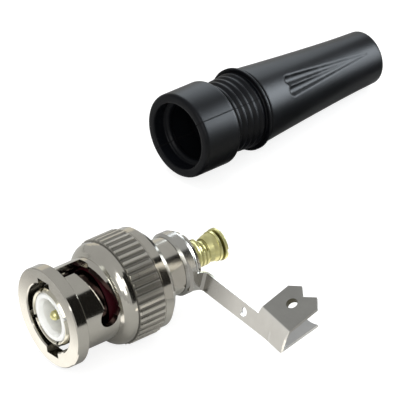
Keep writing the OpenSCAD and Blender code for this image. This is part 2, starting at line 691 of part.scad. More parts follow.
module boot_in_line() {
    collar_r = boot_collar_d / 2;
    waist_r = boot_waist_d / 2;
    rim_r = boot_rim_d / 2;
    tail_r = boot_tail_d / 2;
    round_r = 0.45;
    rib_from = boot_collar_len + 0.55;
    flare_from = rib_from + boot_ribs * boot_rib_pitch - 0.2;
    mouth_r = boot_mouth_d / 2;
    lip_r = boot_lip_d / 2;
    hollow_r = boot_hollow_d / 2;
    exit_r = boot_exit_d / 2;
    difference() {
        turned(concat(
            [[0, mouth_r]], [[0, collar_r - round_r - 0.1]],
            arc([round_r, collar_r - round_r], round_r, 180 - 20, 90, 4),
            arc([boot_collar_len - round_r, collar_r - round_r], round_r, 90, 20, 4),
            [[boot_collar_len, waist_r - 0.15], [boot_collar_len + 0.2, waist_r - 0.15]],
            [for (i = [0 : boot_ribs - 1], k = [0 : 3])
                let (grow = 0.09 * i, y = rib_from + i * boot_rib_pitch)
                    [y + [0, 0.3, 0.55, 0.85][k], waist_r + grow + [0, 1, 1, 0][k] * boot_rib_h]],
            [for (i = [0 : 5]) let (t = i / 5, low = waist_r + 0.35)
                [flare_from + 0.5 + (boot_rim_at - 0.7 - flare_from - 0.3) * t,
                 low + (rim_r - low) * t]],
            [[boot_rim_at - 0.1, rim_r], [boot_rim_at, rim_r - 0.1],
             [boot_rim_at + 0.05, boot_r(boot_rim_at) - 0.3],
             [boot_rim_at + 0.3, boot_r(boot_rim_at) - 0.3]],
            [for (i = [0 : 8]) let (y = boot_rim_at + 0.45
                    + (boot_len - round_r - boot_rim_at - 0.45) * i / 8) [y, boot_r(y)]],
            arc([boot_len - round_r, tail_r - round_r], round_r, 80, 0, 4),
            [[boot_len, exit_r], [boot_len - 3, exit_r], [boot_hollow_to + 3, exit_r + 0.4],
             [boot_hollow_to, hollow_r], [boot_mouth_len + boot_lip_len + 0.3, hollow_r],
             [boot_mouth_len + boot_lip_len, lip_r], [boot_mouth_len + 0.3, lip_r],
             [boot_mouth_len, lip_r + 0.3], [boot_mouth_len, mouth_r]]));
        for (half = [0, 180], side = [-1, 1])
            rotate([0, half, 0]) at_angle(parting_deg) relief_flute(side);
    }
}

module boot() {
    color([0.10, 0.10, 0.11])
    translate([boot_x, boot_y, boot_z]) rotate([0, 0, boot_turn]) rotate([-boot_tilt, 0, 0])
        boot_in_line();
}

coupling_nut();
plug_body();
contact_sleeve();
front_insulator();
rear_insulator();
centre_contact();
gasket();
wave_washer();
thrust_washer();
cable_clamp();
clamp_washer();
terminal_screw();
boot();
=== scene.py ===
# %% [markdown]
# # A bayonet coaxial plug and its boot
#
# The plug is made of turned, nickel-plated metal with a white insulator in its mouth, a
# brass screw terminal and a cable clamp folded from sheet. Its rubber boot lies beside it.
# The construction model already holds every solid in its true place, so this lesson is
# about finish: the light a plated surface needs, one material for each real finish, and
# the few fine shapes that are easier to model here than in the construction model.

# %% Load the construction model
import math

import bpy
from mathutils import Matrix, Vector


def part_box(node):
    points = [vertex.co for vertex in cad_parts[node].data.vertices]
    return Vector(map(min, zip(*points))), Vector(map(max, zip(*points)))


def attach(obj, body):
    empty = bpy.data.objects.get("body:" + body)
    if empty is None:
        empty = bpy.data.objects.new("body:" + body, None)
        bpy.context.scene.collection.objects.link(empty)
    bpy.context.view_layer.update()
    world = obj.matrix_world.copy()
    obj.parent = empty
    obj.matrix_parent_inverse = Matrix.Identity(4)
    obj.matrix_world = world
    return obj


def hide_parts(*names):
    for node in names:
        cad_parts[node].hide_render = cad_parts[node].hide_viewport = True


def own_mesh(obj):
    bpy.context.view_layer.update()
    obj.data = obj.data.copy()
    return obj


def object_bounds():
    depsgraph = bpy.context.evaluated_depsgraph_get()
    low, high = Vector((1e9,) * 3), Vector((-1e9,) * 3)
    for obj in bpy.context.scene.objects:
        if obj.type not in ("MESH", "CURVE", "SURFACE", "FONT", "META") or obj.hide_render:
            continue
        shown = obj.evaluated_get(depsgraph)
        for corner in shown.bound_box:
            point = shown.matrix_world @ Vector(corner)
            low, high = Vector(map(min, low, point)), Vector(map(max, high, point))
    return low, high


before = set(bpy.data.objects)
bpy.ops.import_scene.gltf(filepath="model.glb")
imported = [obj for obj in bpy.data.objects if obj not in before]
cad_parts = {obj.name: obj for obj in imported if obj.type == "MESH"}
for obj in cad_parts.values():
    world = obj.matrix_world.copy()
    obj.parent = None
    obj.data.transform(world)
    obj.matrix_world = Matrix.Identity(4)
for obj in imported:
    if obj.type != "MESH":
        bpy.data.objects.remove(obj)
cad_box = [list(corner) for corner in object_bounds()]
MM = 0.001

# %% [markdown]
# ## The camera
#
# Small goods are shot from far away with a long lens, so that near and far parts keep the
# same scale. The camera stands in front of the mouth, to the clamp's side, and looks down
# by a third of a right angle. A long lens could be faked with an orthographic camera, but
# the slight perspective of a real one is what makes the mouth look a little larger.

# %% Camera
LENS_MM, DISTANCE_MM, AIM_MM = 360.5, 563.4, (-18.58, 38.54, -7.355)
AZIMUTH_DEG, ELEVATION_DEG, ROLL_DEG = 54.13, 34.48, -1.07

camera_data = bpy.data.cameras.new("product_camera")
camera = bpy.data.objects.new("product_camera", camera_data)
bpy.context.collection.objects.link(camera)
camera_data.sensor_width = 36
camera_data.lens = LENS_MM
camera_data.clip_end = 10
azimuth, elevation, roll = (math.radians(v) for v in (AZIMUTH_DEG, ELEVATION_DEG, ROLL_DEG))
to_camera = Vector((math.sin(azimuth) * math.cos(elevation),
                    -math.cos(azimuth) * math.cos(elevation), math.sin(elevation)))
camera.location = Vector(AIM_MM) * MM + to_camera * DISTANCE_MM * MM
camera.rotation_euler = ((-to_camera).to_track_quat("-Z", "Y").to_matrix()
                         @ Matrix.Rotation(roll, 3, "Z")).to_euler()
bpy.context.scene.camera = camera
bpy.context.scene.view_settings.view_transform = "Standard"
print("camera at", [round(v, 3) for v in camera.location])

# %% [markdown]
# ## Shader maths as expressions
#
# A node tree soon turns into a page of boilerplate. Two small classes keep it readable.
# A Wire wraps one output socket, and the usual operators on it add Math nodes. A Finish
# makes a material and adds any other node with one method, which takes the node's type,
# its settings and what goes into its sockets. Colours can't go through a Math node, which
# would turn them grey, so they are blended by a Mix node.

# %% Wire: one value in a shader
class Wire:
    """One output socket that takes part in arithmetic."""

    def __init__(self, tree, socket):
        self.tree, self.socket = tree, socket

    def math(self, operation, *values):
        return add_node(self.tree, "ShaderNodeMath", {"operation": operation},
                        dict(enumerate(values)))

    def __add__(self, other):
        return self.math("ADD", self, other)

    def __sub__(self, other):
        return self.math("SUBTRACT", self, other)

    def __mul__(self, other):
        return self.math("MULTIPLY", self, other)

    def __truediv__(self, other):
        return self.math("DIVIDE", self, other)

    def __rsub__(self, other):
        return self.math("SUBTRACT", other, self)

    def __pow__(self, other):
        return self.math("POWER", self, other)

    __radd__, __rmul__ = __add__, __mul__

    def clamp(self):
        """The value, held between 0 and 1."""
        return self.math("MINIMUM", self.math("MAXIMUM", self, 0.0), 1.0)


def add_node(tree, kind, settings=None, sockets=None, out=0):
    """Adds a node, sets its properties, fills its sockets and returns an output."""
    node = tree.nodes.new(kind)
    for name, value in (settings or {}).items():
        if name == "stops":
            ramp = node.color_ramp
            while len(ramp.elements) < len(value):
                ramp.elements.new(0.5)
            for element, (place, colour) in zip(ramp.elements, value):
                element.position = place
                element.color = (*colour, 1)
        else:
            setattr(node, name, value)
    for name, value in (sockets or {}).items():
        if isinstance(value, Wire):
            tree.links.new(value.socket, node.inputs[name])
        elif isinstance(value, tuple) and len(value) == 3 \
                and node.inputs[name].type == "RGBA":
            node.inputs[name].default_value = (*value, 1)
        else:
            node.inputs[name].default_value = value
    return Wire(tree, node.outputs[out])


def apart(tree, vector):
    """The three coordinates of a vector, each as a Wire."""
    node = tree.nodes.new("ShaderNodeSeparateXYZ")
    tree.links.new(vector.socket, node.inputs[0])
    return tuple(Wire(tree, output) for output in node.outputs)


def mix_colours(tree, mask, dark, light):
    """The first colour where the mask is 0, and the second where it is 1."""
    factor, first, second, result = 0, 6, 7, 2  # the Mix node's sockets for colours
    return add_node(tree, "ShaderNodeMix", {"data_type": "RGBA"},
                    {factor: mask, first: dark, second: light}, out=result)


print("wires ready")

# %% Finish: one material
class Finish:
    """A procedural material round one Principled shader."""

    def __init__(self, name, **fixed):
        self.material = bpy.data.materials.new(name)
        self.material.use_nodes = True
        self.tree = self.material.node_tree
        self.shader = self.tree.nodes["Principled BSDF"]
        for socket, value in fixed.items():
            self.set(socket.replace("_", " "), value)
        self.place = self.node("ShaderNodeTexCoord", out="Object")
        self.x, self.y, self.z = apart(self.tree, self.place)

    def node(self, kind, settings=None, sockets=None, out=0):
        return add_node(self.tree, kind, settings, sockets, out)

    def set(self, socket, value):
        """Links a Wire to a socket of the shader, or writes a plain value there."""
        target = self.shader.inputs[socket]
        if isinstance(value, Wire):
            self.tree.links.new(value.socket, target)
        elif isinstance(value, tuple) and len(value) == 3 and target.type == "RGBA":
            target.default_value = (*value, 1)
        else:
            target.default_value = value

    def noise(self, per_mm, detail=3.0, at=None):
        """Cloudy variation with so many features to the millimetre."""
        return self.node("ShaderNodeTexNoise", {"noise_dimensions": "3D"},
                         {"Vector": at or self.place, "Scale": per_mm / MM,
                          "Detail": detail, "Roughness": 0.55})

    def lines(self, along, per_mm):
        """Fine lines across one coordinate, as a turning tool or a mill roll leaves."""
        return self.node("ShaderNodeTexNoise", {"noise_dimensions": "1D"},
                         {"W": along, "Scale": per_mm / MM, "Detail": 2.0})

    def mix(self, mask, dark, light):
        return mix_colours(self.tree, mask, dark, light)

    def bump(self, height, distance_mm, strength=1.0, round_mm=0.0):
        """Relief from a height; edges look rounded by round_mm, if it is given."""
        sockets = {"Height": height, "Distance": distance_mm * MM, "Strength": strength}
        if round_mm:
            sockets["Normal"] = self.node("ShaderNodeBevel", {"samples": 8},
                                          {"Radius": round_mm * MM})
        self.set("Normal", self.node("ShaderNodeBump", None, sockets))


print("finishes ready")


# %% Masks from a coordinate
def step(wire, start, width):
    """0 before start, 1 after start plus width, and a straight ramp between."""
    return ((wire - start) / width).clamp()


def band(wire, low, high, soft):
    """1 between two values of a wire, and 0 outside them."""
    return step(wire, low - soft, soft) * (1 - step(wire, high, soft))


print("masks ready")

# %% [markdown]
# ## Bare light for a mirror-like part
#
# Plated metal has hardly any colour of its own: it shows the studio. So a plain surround
# and two soft lamps light the goods at an ordinary level, and the form comes from cards.
# The camera sees the surround and the floor as plain white, and reflections see both
# toned down, which is where the even grey of the upper surfaces comes from.

# %% Surround
GLOSSY_SHARE = 0.2  # how much of the plain white a reflection still sees

world = bpy.data.worlds.new("studio")
bpy.context.scene.world = world
world.use_nodes = True
room = world.node_tree


def ray_kinds(tree):
    """Whether a ray comes from the camera, through a surface or off a gloss."""
    path = tree.nodes.new("ShaderNodeLightPath")
    return [Wire(tree, path.outputs[name]) for name in
            ("Is Camera Ray", "Is Transmission Ray", "Is Glossy Ray")]


from_camera, through, off_gloss = ray_kinds(room)
white_seen = (from_camera + through + off_gloss * GLOSSY_SHARE).clamp()
room_colour = mix_colours(room, white_seen, (0.50, 0.505, 0.50), (1, 1, 1))
room.links.new(room_colour.socket, room.nodes["Background"].inputs["Color"])
print("surround ready")

# %% Floor
FLOOR_Z = cad_box[0][2] - 0.05 * MM  # just clear of the lowest point
bpy.ops.object.select_all(action="DESELECT")
bpy.ops.mesh.primitive_plane_add(size=6, location=(0, 0, FLOOR_Z))
floor = bpy.context.active_object
floor.name = "floor"
paper = Finish("white_paper", Roughness=0.9)
from_camera, through, off_gloss = ray_kinds(paper.tree)
straight = (from_camera + through).clamp()
paper_colour = paper.mix(off_gloss, (0.86, 0.86, 0.85), (0.50, 0.50, 0.49))
paper.set("Base Color", paper.mix(straight, paper_colour, (0.34, 0.34, 0.34)))
paper.set("Emission Color", paper.mix(straight, (0, 0, 0), (0.80, 0.80, 0.80)))
paper.set("Emission Strength", 1.0)
floor.data.materials.append(paper.material)
print("floor at z =", round(FLOOR_Z / MM, 2), "mm")

# %% [markdown]
# ## Cards that only reflections see
#
# A product studio puts black and white cards round a bright part, just out of the frame.
# Each is placed by the law of the mirror: where the line of sight, reflected at a
# surface, leaves for the studio. A card could be lit by lamps, but a plain emitter that
# is seen by reflections alone is simpler to aim, and it changes nothing else. A fade
# from foot to head makes a soft edge, which is what shows that a surface is round.

# %% One card
WARM, COOL, CREAM = (1.0, 0.96, 0.86), (0.86, 0.935, 1.0), (1.0, 0.985, 0.95)


def card(name, centre, size, facing, brightness, tint=WARM, fade=None):
    """A flat card, turned to face a point; fade shades it from foot to head."""
    bpy.ops.object.select_all(action="DESELECT")
    bpy.ops.mesh.primitive_plane_add(size=1)
    panel = bpy.context.active_object
    panel.name = name
    place = Vector(centre) * MM
    turn = (Vector(facing) * MM - place).to_track_quat("Z", "Y").to_matrix().to_4x4()
    panel.data.transform(Matrix.Translation(place) @ turn
                         @ Matrix.Diagonal((size[0] * MM, size[1] * MM, 1, 1)))
    look = bpy.data.materials.new(name)
    look.use_nodes = True
    tree = look.node_tree
    tree.nodes.clear()
    glow = tree.nodes.new("ShaderNodeEmission")
    glow.inputs["Color"].default_value = (*tint, 1)
    glow.inputs["Strength"].default_value = brightness
    if fade:
        upwards = apart(tree, add_node(tree, "ShaderNodeUVMap"))[1]
        stops = [(height, tuple(share * v for v in tint)) for height, share in fade]
        shaded = add_node(tree, "ShaderNodeValToRGB", {"stops": stops}, {0: upwards})
        tree.links.new(shaded.socket, glow.inputs["Color"])
    out = tree.nodes.new("ShaderNodeOutputMaterial")
    tree.links.new(glow.outputs[0], out.inputs["Surface"])
    panel.data.materials.append(look)
    panel.visible_camera = False
    panel.visible_diffuse = False
    panel.visible_shadow = False
    panel.visible_transmission = False


CARD_Z = -7.42  # cards that lie on the floor, a hair above it, and look straight up
print("card helper ready")

# %% [markdown]
# ### Where the cards stand
#
# The black card at the clamp's side draws the dark band along the nut. Two floor cards
# light the edges that are turned away from the camera and the flat face round the mouth,
# and the face's card fades, so that the flat ring doesn't look like paper. The clamp's
# strip mirrors the dark nut, so it has a card of its own in front of its arm, one between
# its two wings and one on the floor for its cut edges.

# %% Cards for the nut and the clamp
card("black_card_right", (140, 95, 72), (130, 230), (4, 6, 0), 0.015)
card("white_card_behind", (-5, 45, CARD_Z), (22, 34), (-5, 45, 100), 1.9)
card("white_card_front", (-9, -5, CARD_Z), (34, 9.4), (-9, -5, 100), 1.9, CREAM,
     [(0.0, 1.0), (0.45, 1.0), (0.75, 0.55), (1.0, 0.35)])
card("white_card_edges", (30.5, 28, CARD_Z), (6, 14), (30.5, 28, 100), 2.6)
card("white_card_arm", (13, 20.6, -0.7), (17, 7.8), (13, 100, -0.7), 0.62, CREAM)
card("white_card_channel", (19.5, 25.6, 0.3), (9, 6.6), (19.5, 58.6, -93.7), 0.8, CREAM)
print("cards for the nut and the clamp ready")

# %% [markdown]
# ### The rear of the plug, and the boot
#
# A large card on the left lights what looks back at it from the nut's and the collar's
# left side. A narrow white card puts one bright line on the neck, and a black one puts a
# dark line on the collar. Black rubber shows nothing but its highlights: a black card
# under it keeps its base dark, one bright card at its side makes the long highlight, and
# one above makes the faint sheen along its top. Both fade out at head and foot.

# %% Cards for the rear and the boot
card("white_card_left", (-254, 150, 46), (240, 104), (0, 10, 4), 0.9)
card("white_card_neck", (30, 34.5, 16), (3.6, 34), (0, 16.6, 0), 1.5)
card("black_card_collar", (29, 40.5, 17), (7, 34), (0, 21.5, 0), 0.01)
card("black_card_under_boot", (-8, 66, CARD_Z), (27, 64), (-8, 66, 100), 0.03)
card("boot_side_card", (3, 104, 24), (44, 56), (-22, 64, 3), 32.0, COOL,
     [(0.0, 0.2), (0.3, 0.6), (0.55, 1.0), (0.8, 0.5), (1.0, 0.2)])
card("boot_top_card", (-56, 82, 28), (44, 44), (-27, 64, 6), 5.0, COOL,
     [(0.0, 0.4), (0.6, 1.0), (1.0, 0.8)])

# %% [markdown]
# ## Two lamps
#
# The key stands beside the camera, so that every edge that is bevelled towards the viewer
# is lit. The second hangs above and fills the shadows. It isn't seen in reflections,
# because a lamp that far overhead would only add a stray streak to the metal.

# %% Lamps
def lamp(name, place, size, watts, target):
    """A soft rectangular lamp that faces a point."""
    data = bpy.data.lights.new(name, "AREA")
    data.shape = "RECTANGLE"
    data.size, data.size_y = size[0] * MM, size[1] * MM
    data.energy = watts
    thing = bpy.data.objects.new(name, data)
    bpy.context.collection.objects.link(thing)
    thing.location = Vector(place) * MM
    thing.rotation_euler = (Vector(target) * MM - thing.location).to_track_quat(
        "-Z", "Y").to_euler()
    return thing


lamp("key_near_camera", (330, -330, 330), (520, 400), 1.8, (0, 12, 0))
top_soft = lamp("top_soft", (-120, 60, 520), (420, 420), 2.2, (-10, 30, 0))
top_soft.visible_glossy = False

# %% [markdown]
# ## Nickel plate
#
# The nut and the body are turned on a lathe and then plated. The tool leaves rings that
# are too fine to see one by one, but they spread each highlight round the part. They are
# one-dimensional noise along the axis, which costs less than a texture and has no seam.
# Handling leaves faint cloudy smudges. The knurl's flutes are darkened as painted shade:
# a mask from the distance to the axis darkens their floor and leaves their tops bright.

# %% Nickel finish
NICKEL = (0.505, 0.484, 0.434)
KNURL_FROM, KNURL_TO = 9.62, 13.98  # along the axis, in mm
VALLEY_R, VALLEY_BLEND = 7.26, 0.18  # the flutes' floor, and where it has faded out


def nickel(name, base, rough, knurl=False):
    """Turned nickel plate; with knurl, the floor of the flutes is darkened as painted shade.
    """
    finish = Finish(name, Metallic=1.0)
    rings = finish.lines(finish.y, 9)
    smudge = finish.noise(0.35, 4)
    dark = tuple(v * 0.9 for v in base)
    light = tuple(v * 1.1 for v in base)
    colour = finish.mix(smudge, dark, light)
    roughness = rough + rings * 0.04 + smudge * 0.05
    if knurl:
        radius = (finish.x * finish.x + finish.z * finish.z) ** 0.5
        on_knurl = band(finish.y, KNURL_FROM * MM, KNURL_TO * MM, 0.05 * MM)
        # painted shade: the floor of the flutes is darkened, and their tops stay bright
        flute_shade = on_knurl * (1 - step(radius, VALLEY_R * MM, VALLEY_BLEND * MM))
        colour = finish.mix(flute_shade * 0.75, colour, (0.10, 0.095, 0.085))
        roughness = roughness + on_knurl * 0.16
    finish.set("Base Color", colour)
    finish.set("Roughness", roughness)
    finish.bump(rings, 0.004, 0.35)
    return finish.material


nickel_nut = nickel("nickel_nut", NICKEL, 0.08, knurl=True)
nickel_body = nickel("nickel_body", NICKEL, 0.12)
print("nickel ready")

# %% [markdown]
# ## The contact sleeve
#
# The slotted sleeve in the mouth has a slightly warmer plate than the nut. Light hardly
# reaches its rear, which a mirror-like material alone would leave too bright, so the
# plate's colour darkens with depth as painted shade.

# %% Contact plate
DEEP_FROM, DEEP_BLEND = 2.0, 1.2  # depth behind the mouth, in mm

contact_finish = Finish("contact_plate", Metallic=1.0)
contact_lines = contact_finish.lines(contact_finish.y, 8)
contact_colour = contact_finish.mix(contact_finish.noise(0.8), (0.50, 0.47, 0.38),
                                    (0.60, 0.58, 0.50))
# painted shade: the colour darkens with depth behind the mouth, where light hardly reaches
depth_shade = step(contact_finish.y, DEEP_FROM * MM, DEEP_BLEND * MM)
contact_finish.set("Base Color", contact_finish.mix(depth_shade, contact_colour,
                                                    (0.035, 0.022, 0.02)))
contact_finish.set("Roughness", 0.16 + contact_lines * 0.08)
contact_finish.bump(contact_lines, 0.004, 0.4)
print("contact plate ready")

# %% [markdown]
# ## Bare brass
#
# The centre contact, the terminal post, its washer and its screw are bare pale brass.
# Brass leaves the lathe bright and dulls to olive, so a soft noise mixes two tones. The
# post is turned with a row of fine rings. They could be cut as geometry, but a sine wave
# along the axis makes their relief without a face more, and it darkens the colour in the
# grooves as painted shade.

# %% Brass
POST_FROM, POST_TO, RING_PITCH = 23.3, 25.5, 0.62  # along the axis, in mm

brass_finish = Finish("bare_brass", Metallic=1.0)
brass_lines = brass_finish.lines(brass_finish.y, 7)
brass_cloud = brass_finish.noise(1.1, 4)
brass_bare = brass_finish.mix(brass_cloud, (0.50, 0.47, 0.20), (0.72, 0.69, 0.36))
on_post = band(brass_finish.y, POST_FROM * MM, POST_TO * MM, 0.1 * MM)
phase = brass_finish.y * (2 * math.pi / (RING_PITCH * MM))
ring_tops = phase.math("SINE", phase) * 0.5 + 0.5
# the groove mask makes the rings' relief, and it darkens their colour as painted shade
groove_and_shade = on_post * (1 - ring_tops)
brass_finish.set("Base Color", brass_finish.mix(groove_and_shade * 0.55, brass_bare,
                                                (0.20, 0.17, 0.04)))
brass_finish.set("Roughness", 0.26 + brass_lines * 0.1 + brass_cloud * 0.1)
brass_finish.bump(brass_lines * 0.06 - groove_and_shade, 0.09, 0.7)
print("brass ready")

# %% [markdown]
# ## The insulator
#
# The insulator is a milky moulding: light enters it and comes out again a little further
# on. A subsurface weight does that. Its radius is the same for all three colours, because
# the default, which suits skin, would tint a white plastic.

# %% Milky plastic
milk = Finish("milky_plastic")
milk_cloud = milk.noise(0.6, 3)
milk.set("Base Color", milk.mix(milk_cloud, (0.82, 0.82, 0.79), (0.88, 0.88, 0.86)))
milk.set("Subsurface Weight", 0.6)
milk.set("Subsurface Scale", 1.5 * MM)
milk.set("Subsurface Radius", (1, 1, 1))
milk.set("Roughness", 0.28 + milk_cloud * 0.12)
milk.bump(milk.noise(3, 2), 0.01, 0.25)
print("milky plastic ready")

# %% [markdown]
# ## Gasket and spring
#
# The gasket is dark red rubber, and all that shows of it is a glimpse through the bayonet
# slot. It is dull, so its specular level is low. The spring washer is bare strip steel.

# %% Gasket rubber and spring steel
red_rubber = Finish("red_rubber")
red_cloud = red_rubber.noise(1.4, 3)
red_rubber.set("Base Color", red_rubber.mix(red_cloud, (0.014, 0.001, 0.002),
                                            (0.032, 0.0015, 0.005)))
red_rubber.set("Specular IOR Level", 0.08)
red_rubber.set("Roughness", 0.45 + red_cloud * 0.2)
red_rubber.bump(red_rubber.noise(9, 2), 0.01, 0.4)

strip_steel = Finish("spring_strip", Metallic=1.0)
steel_cloud = strip_steel.noise(2.0, 3)
strip_steel.set("Base Color", strip_steel.mix(steel_cloud, (0.36, 0.36, 0.35),
                                              (0.50, 0.50, 0.48)))
strip_steel.set("Roughness", 0.3 + steel_cloud * 0.15)
print("gasket and spring ready")

# %% [markdown]
# ## The clamp's sheet
#
# The clamp is stamped from plated sheet and folded. The rolling mill leaves lines along
# the strip, which are noise stretched along the arm, while the rolled collar is smooth
# and bright. The colour differs from face to face as painted light, standing in for
# reflections that aren't modelled: the arm's front and the channel's back are painted
# bright, the faces inside the channel duller, and the arm brightens away from the collar.

# %% Sheet: its tones
sheet = Finish("plated_sheet", Metallic=1.0)
squeezed = sheet.node("ShaderNodeMapping", None,
                      {"Vector": sheet.place, "Scale": (0.12, 1.0, 1.0)})
roll_lines = sheet.noise(6, 3, at=squeezed)
sheet_cloud = sheet.noise(0.5, 3)
# painted light: one plate gets a tone for each face, in place of reflections
upper_wing = sheet.mix(sheet_cloud, (0.30, 0.295, 0.28), (0.37, 0.365, 0.345))
collar = sheet.mix(sheet_cloud, (0.42, 0.41, 0.385), (0.49, 0.48, 0.45))
painted_bright_tone = sheet.mix(sheet_cloud, (0.82, 0.80, 0.76), (0.96, 0.945, 0.90))
lower_wing = sheet.mix(sheet_cloud, (0.34, 0.345, 0.35), (0.41, 0.415, 0.42))
print("sheet tones ready")

# %% [markdown]
# ### Which tone lies where
#
# The arm leans back, so the border between its front and the channel isn't at one depth.
# It is a plane: so much of the height is taken off the depth. The lower wing is split
# from the upper one by a second plane, which rises with the depth.

# %% Sheet: masks for its faces
ARM_FROM, ARM_BLEND = 5.2, 6.5  # where the strip has left the collar, in mm
FRONT_LEAN, FRONT_PLANE, FRONT_BLEND = 0.29, 22.78, 0.15
SPLIT_RISE, SPLIT_FROM, SPLIT_Z, SPLIT_BLEND = 0.34, 22.5, -1.1, 0.4

out_on_arm = step(sheet.x, ARM_FROM * MM, ARM_BLEND * MM)
in_channel = step(sheet.y - sheet.z * FRONT_LEAN, FRONT_PLANE * MM, FRONT_BLEND * MM)
below = 1 - step(sheet.z - (sheet.y - SPLIT_FROM * MM) * SPLIT_RISE,
                 SPLIT_Z * MM, SPLIT_BLEND * MM)
# painted light: the arm's tone ramps from the collar's to the bright one, and the channel's
# faces are duller
painted_face_tones = sheet.mix(in_channel, sheet.mix(out_on_arm, collar, painted_bright_tone),
                   sheet.mix(below, upper_wing, lower_wing))
print("sheet masks ready")

# %% [markdown]
# ### The crease and the drawn hole
#
# Where the lower wing starts, the press leaves a short crease, with a little relief and a
# painted highlight along it. The hole in the upper wing is drawn downwards, and its wall
# is darkened as painted shade. The wall is found by the distance from the hole's own axis,
# which leans with the wing: the square of the way to the hole's centre, less the square of
# the depth.

# %% Sheet: crease, hole and surface
CREASE_FROM, CREASE_TO, CREASE_TOP = 19.1, 19.36, -1.1
HOLE_AT, HOLE_AXIS, HOLE_R = (19.113, 26.045, 1.548), (0.0802, -0.3907, 0.917), 0.775
HOLE_LOW, HOLE_HIGH = -1.2, 0.6  # the wall's ends along that axis, in mm

# the crease mask gives a little relief and a painted highlight
crease_relief_and_highlight = (band(sheet.x, CREASE_FROM * MM, CREASE_TO * MM, 0.08 * MM) * (1 - in_channel)
          * (1 - step(sheet.z, CREASE_TOP * MM, 0.3 * MM)))
with_crease_highlight = sheet.mix(crease_relief_and_highlight * 0.8, painted_face_tones, (1.0, 0.99, 0.96))
from_hole = [wire - at * MM for wire, at in zip((sheet.x, sheet.y, sheet.z), HOLE_AT)]
depth = (from_hole[0] * HOLE_AXIS[0] + from_hole[1] * HOLE_AXIS[1]
         + from_hole[2] * HOLE_AXIS[2])
off_axis = (from_hole[0] * from_hole[0] + from_hole[1] * from_hole[1]
            + from_hole[2] * from_hole[2] - depth * depth)
wall_square = (HOLE_R * MM) ** 2
# painted shade: the wall of the drawn hole is darkened
hole_wall_shade = ((1 - step(off_axis, wall_square * 1.03, wall_square * 0.06))
             * band(depth, HOLE_LOW * MM, HOLE_HIGH * MM, 0.05 * MM))
sheet.set("Base Color", sheet.mix(hole_wall_shade, with_crease_highlight, (0.09, 0.085, 0.06)))
sheet.set("Roughness", 0.2 + out_on_arm * (roll_lines * 0.14 + 0.16))
sheet.bump(roll_lines * out_on_arm * 0.08 + crease_relief_and_highlight, 0.08, 0.7)
print("sheet ready")

# %% [markdown]
# ## The boot's rubber
#
# The boot is moulded in soft black plastic with a satin face. A mould has no sharp edges,
# so a Bevel node rounds the ribs and the recess in the shading alone; real bevels on so
# many short edges would cost far more. The mould's two halves meet in a hair line, which
# runs along the collar and over the ribs. It is drawn in the boot's own axes: a Mapping
# node moves and turns the coordinates, so that Y runs along the boot, and the line is
# where the point's angle round it matches.

# %% Boot: its own axes and the hair line
BOOT_AT, BOOT_TURN_DEG = (-24.9, 39.4, -0.2759), (-4.9555, 0.0, 6.4)
PARTING_DEG, LINE_HALF_WIDTH, LINE_END = 43, 0.11, 12.4

rubber = Finish("boot_rubber")
in_boot = rubber.node("ShaderNodeMapping", {"vector_type": "TEXTURE"},
                      {"Vector": rubber.place, "Location": tuple(Vector(BOOT_AT) * MM),
                       "Rotation": tuple(math.radians(v) for v in BOOT_TURN_DEG)})
across, along, up = apart(rubber.tree, in_boot)
parting = math.radians(PARTING_DEG)
off_line = up * math.cos(parting) - across * math.sin(parting)
hair_line = (1 - off_line.math("ABSOLUTE", off_line) / (LINE_HALF_WIDTH * MM)).clamp()
line_mask = hair_line * (1 - step(along, LINE_END * MM, 0.2 * MM))
print("hair line ready")

# %% Boot: satin rubber
rubber_cloud = rubber.noise(0.25, 4)
rubber_grain = rubber.noise(7, 2)
rubber_colour = rubber.mix(rubber_cloud, (0.002, 0.0023, 0.003), (0.004, 0.0045, 0.006))
rubber.set("Base Color", rubber.mix(line_mask, rubber_colour, (0.004, 0.004, 0.004)))
rubber.set("Specular IOR Level", 0.12)
rubber.set("Roughness", 0.28 + rubber_cloud * 0.10 + rubber_grain * 0.05 + line_mask * 0.5)
rubber.bump(rubber_grain * 0.1 + (1 - line_mask), 0.06, 0.6, round_mm=0.5)
print("rubber ready")

# %% [markdown]
# ## Dress the construction solids
#
# Each solid takes the material of its finish by its own material slots. Its mesh stays as
# it is, because it is the exact shape that the construction model gives.

# %% Assign materials
DRESS = {
    "coupling_nut": nickel_nut, "plug_body": nickel_body, "thrust_washer": nickel_body,
    "contact_sleeve": contact_finish.material, "centre_contact": brass_finish.material,
    "clamp_washer": brass_finish.material, "terminal_screw": brass_finish.material,
    "front_insulator": milk.material, "rear_insulator": milk.material,
    "gasket": red_rubber.material, "wave_washer": strip_steel.material,
    "cable_clamp": sheet.material, "boot": rubber.material,
}
for node_name, material in DRESS.items():
    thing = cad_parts[node_name]
    thing.data.materials.clear()
    thing.data.materials.append(material)
    print("dressed", node_name)

# %% [markdown]
# ## The wave washer, smoothed
#
# The construction model builds the sprung ring from straight steps. A copy of it, with
# its loose corners merged, is shaded smooth and stands for the stepped one. When the nut
# is pulled forward the ring flattens.

# %% A smooth copy of a solid
def smooth_copy(node_name, name, angle_deg, material):
    """A merged and smoothed copy of a construction solid, to be worked on further."""
    copy = bpy.data.objects.new(name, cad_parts[node_name].data.copy())
    bpy.context.collection.objects.link(copy)
    bpy.ops.object.select_all(action="DESELECT")
    copy.select_set(True)
    bpy.context.view_layer.objects.active = copy
    bpy.ops.object.mode_set(mode="EDIT")
    bpy.ops.mesh.select_all(action="SELECT")
    bpy.ops.mesh.remove_doubles(threshold=0.002 * MM)
    bpy.ops.object.mode_set(mode="OBJECT")
    if copy.data.has_custom_normals:
        bpy.ops.mesh.customdata_custom_splitnormals_clear()
    bpy.ops.object.shade_smooth_by_angle(angle=math.radians(angle_deg))
    copy.data.materials.clear()
    copy.data.materials.append(material)
    return copy


print("copy helper ready")

